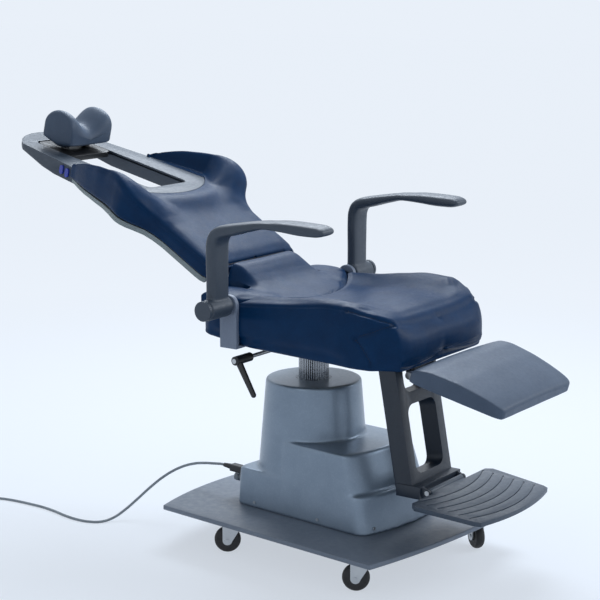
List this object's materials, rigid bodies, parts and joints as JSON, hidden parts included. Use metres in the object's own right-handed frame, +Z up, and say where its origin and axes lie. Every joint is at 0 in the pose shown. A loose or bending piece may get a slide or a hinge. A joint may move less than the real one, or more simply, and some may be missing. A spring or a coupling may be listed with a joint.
{
  "type": "ophthalmic examination chair",
  "caption": "Ophthalmic examination chair in navy leather and grey metal, reclined on a lift column, with headrest track, armrests, calf pad, footplate and castor base",
  "frame": {"origin": "on the floor under the middle of the chair's length and width, with the power cord and its coil left out", "axes": "+X to the front, where the footplate is, +Y to the patient's left, +Z up"},
  "size_m": [1.6772, 0.7178, 1.0572],
  "materials": {
    "plate_paint": "satin",
    "zinc_plate": "satin",
    "tyre_black": "matte",
    "housing_paint": "satin",
    "ram_steel": "polished",
    "black_plastic": "matte",
    "cord_grey": "matte",
    "bronze": "satin",
    "frame_paint": "satin",
    "board_wood": "matte",
    "navy_leather": "satin",
    "pad_grey": "satin",
    "light_paint": "satin",
    "arm_plastic": "satin",
    "track_plastic": "satin",
    "blue_plastic": "gloss"
  },
  "bodies": {
    "base": {"base_plate": "plate_paint", "castor_plates": "zinc_plate", "base_housing": "housing_paint", "housing_screws": "zinc_plate", "column_tube": "zinc_plate", "column_bolts": "zinc_plate", "column_seal": "black_plastic", "upper_bush": "bronze", "lift_actuator": "frame_paint", "control_box": "black_plastic", "power_inlet": "black_plastic", "accessory_socket": "cord_grey", "cord_connector": "black_plastic", "strain_relief": "black_plastic", "power_cord": "cord_grey", "cord_coil": "cord_grey", "coil_tie": "black_plastic", "mains_plug": "black_plastic"},
    "ram": {"lift_ram": "ram_steel", "keyed_bush": "bronze", "actuator_rod": "zinc_plate", "thrust_bearing": "zinc_plate"},
    "seat": {"swivel_hub": "zinc_plate", "seat_frame": "frame_paint", "hinge_arms": "light_paint", "recline_motor": "frame_paint", "hinge_pin": "zinc_plate", "seat_board": "board_wood", "seat_cushion": "navy_leather", "saddle_pad": "navy_leather", "arm_brackets": "light_paint", "arm_pins": "arm_plastic", "leg_frame": "frame_paint", "foot_pin": "zinc_plate", "calf_pin": "zinc_plate"},
    "clamp": {"clamp_shaft": "zinc_plate", "clamp_lever": "black_plastic", "lever_cap": "zinc_plate"},
    "back": {"back_frame": "zinc_plate", "back_shell": "light_paint", "back_cushion": "navy_leather", "track_frame": "track_plastic"},
    "button_upper": {"button_upper": "blue_plastic"},
    "button_lower": {"button_lower": "blue_plastic"},
    "carriage": {"headrest_carriage": "black_plastic"},
    "headrest": {"headrest_bracket": "light_paint", "headrest_cushion": "pad_grey"},
    "arm_right": {"armrest_right": "arm_plastic"},
    "arm_left": {"armrest_left": "arm_plastic"},
    "calf_rest": {"calf_bracket": "light_paint", "calf_pad": "pad_grey"},
    "footplate": {"footplate": "plate_paint"},
    "castor_rear_right": {"castor_fork_rear_right": "zinc_plate"},
    "wheel_rear_right": {"castor_wheel_rear_right": "tyre_black"},
    "castor_rear_left": {"castor_fork_rear_left": "zinc_plate"},
    "wheel_rear_left": {"castor_wheel_rear_left": "tyre_black"},
    "castor_front_right": {"castor_fork_front_right": "zinc_plate"},
    "wheel_front_right": {"castor_wheel_front_right": "tyre_black"},
    "castor_front_left": {"castor_fork_front_left": "zinc_plate"},
    "wheel_front_left": {"castor_wheel_front_left": "tyre_black"}
  },
  "joints": [
    {"name": "castor_swivel_rear_right", "type": "hinge", "parent": "base", "child": "castor_rear_right", "pos_m": [0.05147, -0.20586, 0.08], "axis": [0, 0, 1], "continuous": true},
    {"name": "wheel_spin_rear_right", "type": "hinge", "parent": "castor_rear_right", "child": "wheel_rear_right", "pos_m": [0.03501, -0.21721, 0.033], "axis": [-0.5678, 0.8231, 0], "continuous": true},
    {"name": "castor_swivel_rear_left", "type": "hinge", "parent": "base", "child": "castor_rear_left", "pos_m": [0.0994, 0.22146, 0.08], "axis": [0, 0, 1], "continuous": true},
    {"name": "wheel_spin_rear_left", "type": "hinge", "parent": "castor_rear_left", "child": "wheel_rear_left", "pos_m": [0.10676, 0.20287, 0.033], "axis": [-0.9298, -0.3681, 0], "continuous": true},
    {"name": "castor_swivel_front_right", "type": "hinge", "parent": "base", "child": "castor_front_right", "pos_m": [0.46388, -0.25212, 0.08], "axis": [0, 0, 1], "continuous": true},
    {"name": "wheel_spin_front_right", "type": "hinge", "parent": "castor_front_right", "child": "wheel_front_right", "pos_m": [0.44616, -0.26138, 0.033], "axis": [-0.4633, 0.8862, 0], "continuous": true},
    {"name": "castor_swivel_front_left", "type": "hinge", "parent": "base", "child": "castor_front_left", "pos_m": [0.51182, 0.1752, 0.08], "axis": [0, 0, 1], "continuous": true},
    {"name": "wheel_spin_front_left", "type": "hinge", "parent": "castor_front_left", "child": "wheel_front_left", "pos_m": [0.52791, 0.16333, 0.033], "axis": [-0.5934, -0.8049, 0], "continuous": true},
    {"name": "seat_lift", "type": "slide", "parent": "base", "child": "ram", "axis": [0, 0, 1], "range_m": [0, 0.2]},
    {"name": "seat_swivel", "type": "hinge", "parent": "ram", "child": "seat", "pos_m": [0.145, 0, 0.5], "axis": [0, 0, 1], "range_deg": [-96, 84]},
    {"name": "clamp_turn", "type": "hinge", "parent": "seat", "child": "clamp", "pos_m": [0.105, -0.12, 0.507], "axis": [0, 1, 0], "range_deg": [-40, 50]},
    {"name": "back_recline", "type": "hinge", "parent": "seat", "child": "back", "pos_m": [-0.05745, 0, 0.68746], "axis": [0, 1, 0], "range_deg": [-27, 45]},
    {"name": "headrest_slide", "type": "slide", "parent": "back", "child": "carriage", "axis": [-0.9724, 0, 0.2334], "range_m": [-0.22, 0.005]},
    {"name": "headrest_tilt", "type": "hinge", "parent": "carriage", "child": "headrest", "pos_m": [-0.64039, 0, 0.96469], "axis": [0, 1, 0], "range_deg": [-20, 20]},
    {"name": "arm_swing_right", "type": "hinge", "parent": "seat", "child": "arm_right", "pos_m": [0.075, -0.301, 0.638], "axis": [0, -1, 0], "range_deg": [0, 95]},
    {"name": "arm_swing_left", "type": "hinge", "parent": "seat", "child": "arm_left", "pos_m": [0.075, 0.301, 0.638], "axis": [0, -1, 0], "range_deg": [0, 95]},
    {"name": "calf_tilt", "type": "hinge", "parent": "seat", "child": "calf_rest", "pos_m": [0.46, 0, 0.478], "axis": [0, -1, 0], "range_deg": [-35, 16]},
    {"name": "footplate_fold", "type": "hinge", "parent": "seat", "child": "footplate", "pos_m": [0.531, 0, 0.206], "axis": [0, -1, 0], "range_deg": [0, 95]},
    {"name": "button_press_upper", "type": "slide", "parent": "back", "child": "button_upper", "axis": [0.1302, 0.991, -0.0313], "range_m": [0, 0.003], "stiffness_N_per_m": 400},
    {"name": "button_press_lower", "type": "slide", "parent": "back", "child": "button_lower", "axis": [0.1302, 0.991, -0.0313], "range_m": [0, 0.003], "stiffness_N_per_m": 400}
  ]
}
